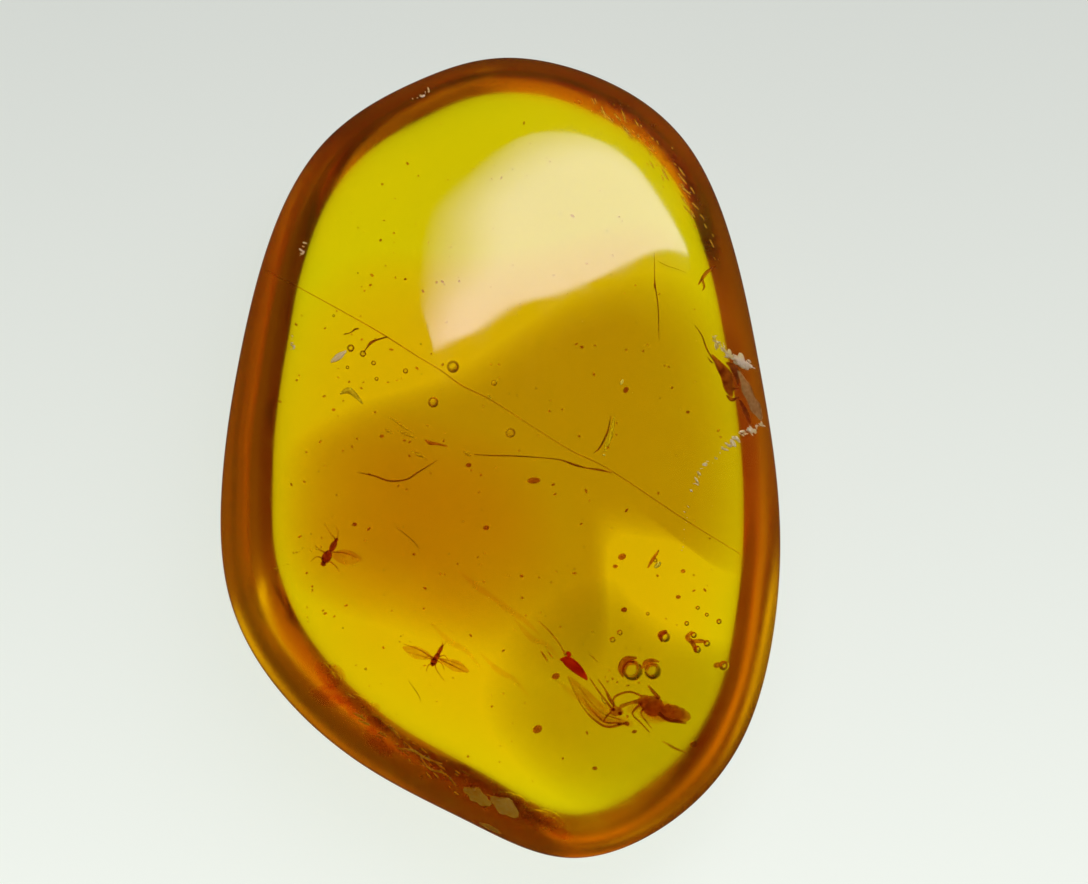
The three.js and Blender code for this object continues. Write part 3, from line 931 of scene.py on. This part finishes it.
# Painted glints: white flecks where the polish catches the light.
glints = [
    carried(at_depth(0.25, (-7.0, 3.98, 0.05), (-6.7, 4.2, 0.14), (-6.38, 4.44, 0.04)), 16, 8, thin=0.3),
    egg(6.55, -4.44, 1.2, 0.17, 0.1, 45), egg(4.3, -10.1, 1.6, 0.12, 0.03, -52),
    egg(4.32, 0.12, 1.0, 0.06, 0.05), egg(5.06, 3.15, 1.0, 0.13, 0.07, 70),
    egg(-3.2, 15.02, 0.1, 0.1, 0.05, 20), egg(-8.17, 8.51, 0.1, 0.1, 0.05, 60),
    egg(-8.55, 4.6, 0.1, 0.1, 0.05, 80), egg(-0.15, 3.18, 2.2, 0.05, 0.03),
]
glints += shards([(-3.6, 14.9, 0.06), (-3.2, 15.1, 0.08), (-2.9, 15.3, 0.05)], 8, 0.07, 0.1, 51)
glints += shards([(-8.3, 8.4, 0.04), (-8.1, 8.9, 0.05)], 6, 0.06, 0.1, 52)
glints += shards([(-8.65, 4.5, 0.03), (-8.6, 5.2, 0.03)], 6, 0.06, 0.1, 53)
piece("painted_glints", glints, chip_and_glint_finish)

# %% [markdown]
# ## Crumbs of debris
#
# Bits of bark, soil and insect droppings are sealed in too: one red flake stands out, and brown clots
# lie in clusters. They let some light through, as the insects do, so the same finish serves, with
# other shades. Larger ones are carried along short curves, and small round ones are eggs.

# %% Model the flake and the clots
flake_finish = chitin("red_flake", (0.55, 0.02, 0.002), (0.8, 0.06, 0.004), 0.8, 0.4, 2.0)
flake = [
    carried(at_depth(3.0, (2.5, -8.35, 0.03), (2.78, -8.42, 0.2), (3.12, -8.68, 0.22), (3.45, -9.0, 0.14),
                          (3.62, -9.2, 0.04)), 30, 12, thin=0.3),
    egg(2.85, -8.14, 2.95, 0.13, 0.1, -50, thin=0.3),
]
piece("red_flake", flake, flake_finish)

clot_finish = chitin("brown_clot", (0.5, 0.2, 0.03), (0.85, 0.5, 0.14), 0.9, 0.5, 4.0, (500, 2000, 7000))
clots = [
    carried(at_depth(2.4, (7.97, -7.22, 0.06), (7.78, -7.45, 0.1), (8.0, -7.68, 0.1),
                          (8.14, -8.02, 0.08)), 20),
    carried(at_depth(2.4, (7.95, -7.62, 0.08), (8.3, -7.6, 0.09), (8.56, -7.62, 0.04)), 16),
    egg(5.23, 2.82, 2.4, 0.14, 0.1, 60), egg(1.41, -0.94, 2.2, 0.27, 0.13, 4),
    carried(at_depth(2.4, (-3.1, 0.74, 0.03), (-2.9, 0.62, 0.08), (-2.6, 0.58, 0.05),
                          (-2.2, 0.48, 0.03)), 20),
    carried([(8.24, 7.2, 0.6, 0.03), (8.5, 7.6, 0.6, 0.08), (8.7, 7.8, 0.6, 0.06),
             (8.95, 7.95, 0.5, 0.02)], 20),
    carried(at_depth(0.6, (8.4, 7.4, 0.05), (8.48, 7.1, 0.04), (8.4, 6.95, 0.02)), 14),
    carried([(5.1, -9.08, 2.9, 0.04), (5.0, -8.72, 2.8, 0.11), (5.22, -8.36, 2.8, 0.12),
             (5.66, -8.3, 2.8, 0.05)], 24),
    carried(at_depth(2.9, (5.95, -8.72, 0.03), (6.02, -8.5, 0.09), (6.3, -8.4, 0.08),
                          (6.6, -8.46, 0.03)), 20),
    carried(at_depth(2.8, (6.72, -7.62, 0.04), (6.66, -7.34, 0.12), (6.9, -7.2, 0.08)), 14),
    carried(at_depth(2.6, (6.58, -3.86, 0.03), (6.34, -4.22, 0.07), (6.14, -4.56, 0.03)), 14),
    carried(at_depth(2.8, (1.6, -6.76, 0.012), (2.1, -7.24, 0.022), (2.55, -7.84, 0.02),
                          (2.7, -8.2, 0.03)), 24, 8),
    carried(at_depth(2.8, (1.7, -8.02, 0.02), (1.84, -8.22, 0.04), (1.97, -8.43, 0.02)), 12, 8),
    carried(at_depth(2.8, (1.98, -8.04, 0.015), (2.08, -8.16, 0.03), (2.2, -8.3, 0.015)), 12, 8),
]
SMALL_CLOTS = [
    (-3.57, -4.0, 0.05), (-6.9, 2.0, 0.06), (5.07, -4.1, 0.13), (4.79, -4.5, 0.08), (7.6, -4.7, 0.08),
    (7.4, -5.77, 0.08), (2.32, -9.06, 0.13), (3.94, -12.88, 0.08), (-0.57, -2.9, 0.1), (9.02, -8.6, 0.12),
    (1.56, -11.26, 0.16), (8.04, -11.89, 0.12), (8.2, -6.22, 0.07), (5.15, -6.3, 0.1), (-6.03, -2.76, 0.08),
    (-1.3, -0.3, 0.09), (0.9, -4.9, 0.06), (-4.9, 0.9, 0.07), (7.8, 1.9, 0.06), (3.4, 4.6, 0.06),
]
CLOT_DEPTH = 2.7
clots += [egg(x, y, CLOT_DEPTH, 1.3 * size, size, lean=400 * size - 30) for x, y, size in SMALL_CLOTS]
piece("brown_clots", clots, clot_finish)

# %% [markdown]
# ## Dust
#
# Fine dust is everywhere. The square root spreads the grains evenly over the stone, which would
# otherwise crowd in the middle, and the squared draw makes most of them very small. Grains this small
# need only six sides.

# %% Scatter the dust
GRAINS = 280
dice = np.random.default_rng(23)
dust = []
for _ in range(GRAINS):
    reach, way = 10.2 * math.sqrt(dice.random()), dice.uniform(0, 2 * math.pi)
    x, y = 0.92 * reach * math.cos(way), 1.42 * reach * math.sin(way)
    size = 0.018 + 0.034 * dice.random() ** 2
    dust.append(egg(x, y, dice.uniform(0.6, 4.5), size * dice.uniform(1, 2.2), size,
                    lean=dice.uniform(-80, 80), count=6, sides=6))
piece("dust", dust, clot_finish)

# %% [markdown]
# ## Stains round the edge
#
# Near its edge the resin has weathered, and brown stains lie just under the polish. They are soft
# brown eggs of many sizes, scattered beside the edge, and a few long streaks further in.

# %% Scatter the stains
LOWER_EDGE = [(-7.3, -9.2, 0.3), (-6.4, -10.2, 0.3), (-5.0, -11.5, 0.25), (-3.4, -12.5, 0.25),
              (-1.7, -13.5, 0.25), (0.4, -14.5, 0.2), (2.4, -15.4, 0.15)]
UPPER_EDGE = [(3.4, 14.9, 0.2), (5.4, 14.0, 0.25), (7.0, 12.4, 0.25), (8.2, 10.6, 0.2), (9.0, 8.4, 0.15)]
dice = np.random.default_rng(31)


def stains(line, count, size):
    """Soft brown eggs scattered beside a line, most of them small."""
    made = []
    for x, y, width in smooth_line(line, count):
        radius = size * dice.uniform(0.3, 1.0) ** 2 + 0.04
        made.append(egg(x + width * dice.normal(0, 0.9), y + width * dice.normal(0, 0.9),
                        dice.uniform(0.3, 0.9), radius * dice.uniform(1, 2.6), radius,
                        lean=dice.uniform(-60, 10), thin=0.5, count=9, sides=10))
    return made


blots = stains(LOWER_EDGE, 90, 0.34) + stains(UPPER_EDGE, 36, 0.2)
blots.append(carried(at_depth(0.8, (-7.35, -8.9, 0.1), (-6.9, -8.7, 0.16), (-6.55, -9.1, 0.16),
                                   (-6.9, -9.5, 0.12), (-7.3, -9.3, 0.05)), 30, 12))
STREAKS = [(-0.8, -5.4), (0.6, -6.4), (1.5, -7.4), (-1.9, -7.6), (3.2, -9.9), (0.1, -8.8)]
for x, y in STREAKS:
    bend = dice.uniform(-0.2, 0.2)
    streak = at_depth(3.6, (x - 0.9, y + 0.7, 0.03), (x - 0.2, y + 0.1 + bend, 0.13),
                           (x + 0.5, y - 0.4, 0.1), (x + 1.1, y - 1.0 + bend, 0.03))
    blots.append(carried(streak, 24, 8, thin=0.5))
piece("edge_stains", blots, stain_finish)

# %% [markdown]
# ## Crackle with painted golden glints
#
# Fine cracks run through the weathered edge, and their gold is a painted glint for the flash they
# give where they meet the light. One by one they are thin dashes that lean nearly the same way,
# because they follow the strain in the stone. A few longer cracks and three pale, see-through
# patches are set among them one by one.

# %% Scatter the crackle
INNER_UPPER_EDGE = [(4.2, 14.6, 0.12), (5.4, 13.6, 0.2), (6.4, 12.5, 0.25), (7.4, 11.1, 0.25),
                    (8.2, 9.8, 0.15)]


def glimmers(line, count, longest, depth, lean):
    """Thin bright dashes beside a line, which all lean nearly the same way."""
    made = []
    for x, y, width in smooth_line(line, count):
        half = longest * dice.uniform(0.25, 1.0) ** 2 + 0.03
        made.append(egg(x + width * dice.normal(0, 0.8), y + width * dice.normal(0, 0.8),
                        depth + dice.uniform(0, 0.3), half, 0.012 + 0.09 * half, lean + dice.normal(0, 9),
                        thin=0.5, count=7, sides=6))
    return made


# Painted glints: the gold dashes stand for flashes of light.
gold = glimmers(LOWER_EDGE[1:6], 46, 0.3, 0.25, -34) + glimmers(INNER_UPPER_EDGE, 34, 0.34, 0.3, -52)
gold += glimmers(UPPER_EDGE, 22, 0.2, 0.2, -55)
gold += shards([(-8.6, -3.9, 0.12), (-8.0, -3.8, 0.1), (-7.4, -3.7, 0.06)], 9, 0.06, 1.4, 43)
gold += shards([(-9.3, -4.6, 0.1), (-8.7, -4.4, 0.12)], 5, 0.05, 0.6, 44)
GOLD_CRACKS = [
    at_depth(0.3, (-4.2, -12.05, 0.02), (-3.6, -12.15, 0.05), (-3.0, -12.5, 0.04), (-2.4, -12.7, 0.02)),
    at_depth(0.3, (-3.3, -12.4, 0.02), (-2.9, -12.9, 0.04), (-2.3, -13.1, 0.03), (-1.8, -13.6, 0.02)),
    at_depth(0.4, (-4.9, -10.95, 0.02), (-4.5, -11.2, 0.06), (-4.1, -11.65, 0.02)),
]
gold += [carried(rows, 24, 8, thin=0.4) for rows in GOLD_CRACKS]
piece("crackle_with_painted_gold_glints", gold, gold_glint_finish)
patches = [
    carried(at_depth(0.35, (-1.45, -13.75, 0.1), (-1.05, -13.95, 0.28), (-0.65, -14.25, 0.2),
                           (-0.4, -14.35, 0.1)), 30, 14, thin=0.2, ripples=3, ripple=0.12),
    carried(at_depth(0.3, (-0.35, -14.1, 0.08), (-0.05, -14.3, 0.26), (0.35, -14.55, 0.34),
                          (0.7, -14.85, 0.12)), 30, 14, thin=0.2, ripples=2, ripple=0.12),
    carried(at_depth(0.15, (-0.85, -15.15, 0.03), (-0.5, -15.3, 0.09), (-0.2, -15.45, 0.08),
                           (0.05, -15.6, 0.02)), 20, 10, thin=0.2),
]
piece("pale_patches", patches, patch_finish)

# %% [markdown]
# ## All of it is sealed in
#
# Nothing may stick out of the polish. Both faces are functions of place, so the resin over and under
# every corner of every piece can be measured, and the least of it is printed.

# %% Measure the cover
for made in pieces[1:]:
    places = np.empty(len(made.data.vertices) * 3)
    made.data.vertices.foreach_get("co", places)
    x, y, z = places.reshape(-1, 3).T / MM
    above, below = dome_height(x, y) - z, z - back_height(x, y)
    least = float(np.min(np.nan_to_num(np.minimum(above, below), nan=-9)))
    print(f"{made.name}: at least {least:.3f} mm of amber over it")

# %% [markdown]
# ## The glowing table
#
# Amber is shown over a glowing pale table. The glow is full on an oval pad under the stone, and dim and
# warm round it. Rays through the stone's edge end on that warm surround, which gives the edge its
# brown band. The polish, though, reflects a dark table, as when black card stands round the stone, and
# the camera sees one pale tone. So the table gives each kind of ray its own light.


# %% Lay the table
def choose(tree, switch, otherwise, chosen):
    """A colour that changes with a switch of 0 or 1."""
    mix = tree.nodes.new("ShaderNodeMix")
    mix.data_type = "RGBA"
    tree.links.new(switch, mix.inputs["Factor"])
    for socket, colour in ((mix.inputs["A"], otherwise), (mix.inputs["B"], chosen)):
        if isinstance(colour, tuple):
            socket.default_value = (*colour, 1)
        else:
            tree.links.new(colour, socket)
    return mix.outputs["Result"]


TABLE_REACH = 1.0
TABLE_GAP = 0.00002
CARD = (0.012, 0.01, 0.008)
PAINT = (0.1, 0.105, 0.097)
FOUR_WAYS = [(-1, -1), (1, -1), (1, 1), (-1, 1)]
mesh = bpy.data.meshes.new("table")
mesh.from_pydata([(TABLE_REACH * x, TABLE_REACH * y, -TABLE_GAP) for x, y in FOUR_WAYS],
                 [], [(0, 1, 2, 3)])
table = bpy.data.objects.new("table", mesh)
bpy.context.scene.collection.objects.link(table)
table_finish, tree, shader, _ = new_material("pale_table")
mesh.materials.append(table_finish)
shader.inputs["Roughness"].default_value = 0.9
shader.inputs["Specular IOR Level"].default_value = 0.1
rays = tree.nodes.new("ShaderNodeLightPath").outputs
tree.links.new(choose(tree, rays["Is Reflection Ray"], PAINT, CARD), shader.inputs["Base Color"])
print(f"table {2 * TABLE_REACH:.0f} m across, {TABLE_GAP / MM:.2f} mm under the stone")

# %% Light the pad
PAD_WIDTH, PAD_LENGTH, PAD_FADE = 0.0108, 0.0158, 1.5
PAD_GLOW = (0.89, 0.57)
PAD_SURROUND = (0.02, 0.55)
PALE_GLOW = (0.95, 1, 0.91)
WARM_GLOW = (0.95, 0.56, 0.11)
place, axes = object_place(tree)
oval = tree.nodes.new("ShaderNodeMapping")
oval.inputs["Scale"].default_value = (1 / PAD_WIDTH, 1 / PAD_LENGTH, 1)
tree.links.new(place, oval.inputs["Vector"])
distance = tree.nodes.new("ShaderNodeVectorMath")
distance.operation = "LENGTH"
tree.links.new(oval.outputs["Vector"], distance.inputs[0])
pad = spread(tree, distance.outputs["Value"], 1.0, 0.0, 1.0, PAD_FADE)
pad = math_node(tree, "MAXIMUM", pad, rays["Is Camera Ray"])
tilt = math_node(tree, "MULTIPLY_ADD", axes["X"], -0.25, axes["Y"])
level = math_node(tree, "MAXIMUM", pad, spread(tree, tilt, *PAD_SURROUND, -0.03, 0.03))
glow = math_node(tree, "MULTIPLY", spread(tree, axes["Y"], *PAD_GLOW, -0.026, 0.026), level)
kept = spread(tree, rays["Is Reflection Ray"], 1.0, 0.05, 0, 1)
tree.links.new(math_node(tree, "MULTIPLY", glow, kept), shader.inputs["Emission Strength"])
tree.links.new(ramp(tree, pad, [(0, WARM_GLOW), (1, PALE_GLOW)]), shader.inputs["Emission Color"])
print(f"pad {2 * PAD_WIDTH / MM:.1f} x {2 * PAD_LENGTH / MM:.1f} mm")

# %% [markdown]
# ## The room
#
# The room is nearly dark in the stone's reflections. What is seen of it through the stone is warm, and
# brightest low down behind it. Each of the two is a ramp over the direction. The camera sees the
# table's own pale tone past the table's end.

# %% Light the room
ROOM_WARM = [(0, (0.12, 0.05, 0.008)), (0.42, (0.26, 0.11, 0.018)), (0.62, (0.5, 0.25, 0.04)),
             (1, (1, 0.5, 0.08))]
ROOM_DARK = [(0, (0.012, 0.01, 0.008)), (1, (0.03, 0.024, 0.018))]
PALE_ROOM = (0.72, 0.76, 0.7)
room = bpy.data.worlds.new("room")
bpy.context.scene.world = room
room.use_nodes = True
tree = room.node_tree
direction = tree.nodes.new("ShaderNodeTexCoord").outputs["Generated"]
axes = tree.nodes.new("ShaderNodeSeparateXYZ")
tree.links.new(direction, axes.inputs["Vector"])
side = math_node(tree, "MULTIPLY_ADD", axes.outputs["X"], -0.3, axes.outputs["Y"])
side = math_node(tree, "MULTIPLY_ADD", axes.outputs["Z"], -0.35, side)
side = spread(tree, side, 0, 1, -1.1, 1.0)
rays = tree.nodes.new("ShaderNodeLightPath").outputs
lit = choose(tree, rays["Is Transmission Ray"], ramp(tree, side, ROOM_DARK), ramp(tree, side, ROOM_WARM))
seen = choose(tree, rays["Is Camera Ray"], lit, PALE_ROOM)
tree.links.new(seen, tree.nodes["Background"].inputs["Color"])
print(f"room: {len(ROOM_WARM)} shades through the stone, {len(ROOM_DARK)} in its polish")

# %% [markdown]
# ## The soft panel
#
# One large soft panel above gives the polish its one broad highlight. A lamp would give a plain
# rectangle, so the panel is a glowing sheet whose outline is a curve through a few points. Some of its
# sides end crisply and some fade out: the last number of each point is the glow at the rim, and a
# second rim inside it has full glow. Seen through the stone the panel is dimmed, so that it leaves no
# streaks there.

# %% Shape the panel
PANEL_WAY = unit(np.array([0.3, 0.45, 0.84]))
PANEL_DISTANCE = 0.45
PANEL_AIM = np.array([2, 8, 10]) * MM
PANEL_OUTLINE = [(541, -24, 1.0), (430, 30, 0.9), (314, 100, 0.8), (219, 190, 0.7), (120, 240, 0.5),
                 (8, 244, 0.3), (-115, 228, 0.1), (-300, 176, 0.0), (-362, 40, 0.0), (-345, -82, 0.7)]
along = np.array([1, 0.31, 0])
panel_u = unit(along - along @ PANEL_WAY * PANEL_WAY)
panel_v = np.cross(PANEL_WAY, panel_u)
panel_rim = smooth_line(PANEL_OUTLINE, 64)
flat_rim, fade = panel_rim[:, :2] * MM, panel_rim[:, 2]
inner_size = (0.98 - 0.55 * (1 - fade))[:, None]
panel_middle = PANEL_AIM + PANEL_DISTANCE * PANEL_WAY
rings = [panel_middle + size * flat_rim @ np.stack([panel_u, panel_v]) for size in (1.0, inner_size)]
count = len(panel_rim)
fringe = [[i, (i + 1) % count, count + (i + 1) % count, count + i] for i in range(count)]
mesh = bpy.data.meshes.new("soft_panel")
mesh.from_pydata(np.concatenate(rings).tolist(), [], fringe + [list(range(count, 2 * count))])
stored = mesh.attributes.new("glow", "FLOAT", "POINT")
stored.data.foreach_set("value", np.concatenate([fade, np.ones(count)]).astype(np.float32))
panel = bpy.data.objects.new("soft_panel", mesh)
bpy.context.scene.collection.objects.link(panel)
panel.visible_camera = False
print(f"panel {PANEL_DISTANCE:.2f} m from the stone, {np.ptp(flat_rim[:, 0]):.2f} m wide")

# %% Light the panel
PANEL_GLOW = 7.0
PANEL_INSIDE = 0.18
panel_glow = bpy.data.materials.new("panel_glow")
panel_glow.use_nodes = True
mesh.materials.append(panel_glow)
tree = panel_glow.node_tree
tree.nodes.clear()
emission = tree.nodes.new("ShaderNodeEmission")
output = tree.nodes.new("ShaderNodeOutputMaterial")
emission.inputs["Color"].default_value = (0.82, 0.77, 1.0, 1)
stored = tree.nodes.new("ShaderNodeAttribute")
stored.attribute_name = "glow"
glow = spread(tree, stored.outputs["Fac"], 0, PANEL_GLOW, 0, 1)
rays = tree.nodes.new("ShaderNodeLightPath").outputs
straight = math_node(tree, "LESS_THAN", rays["Diffuse Depth"], 0.5)
straight = math_node(tree, "MULTIPLY", straight, rays["Is Transmission Ray"])
kept = spread(tree, straight, 1.0, PANEL_INSIDE, 0, 1)
tree.links.new(math_node(tree, "MULTIPLY", glow, kept), emission.inputs["Strength"])
tree.links.new(emission.outputs["Emission"], output.inputs["Surface"])

# %% [markdown]
# ## The camera
#
# A long lens straight above keeps the outline true. Light crosses many skins on its way through the
# inclusions, so it is followed for many bounces; with fewer, the thick parts would turn black.

# %% Set the camera
camera_data = bpy.data.cameras.new("camera")
camera_data.lens = LENS
camera_data.sensor_width = SENSOR
camera_data.clip_start = 0.01
camera_data.clip_end = 5
camera = bpy.data.objects.new("camera", camera_data)
camera.location = EYE * MM
bpy.context.scene.collection.objects.link(camera)
bpy.context.scene.camera = camera
scene = bpy.context.scene
scene.view_settings.view_transform = "Standard"
scene.cycles.max_bounces = 28
scene.cycles.transmission_bounces = 28
scene.cycles.glossy_bounces = 12
scene.cycles.diffuse_bounces = 4
print(f"camera {EYE[2]:.0f} mm up, with a {LENS} mm lens")
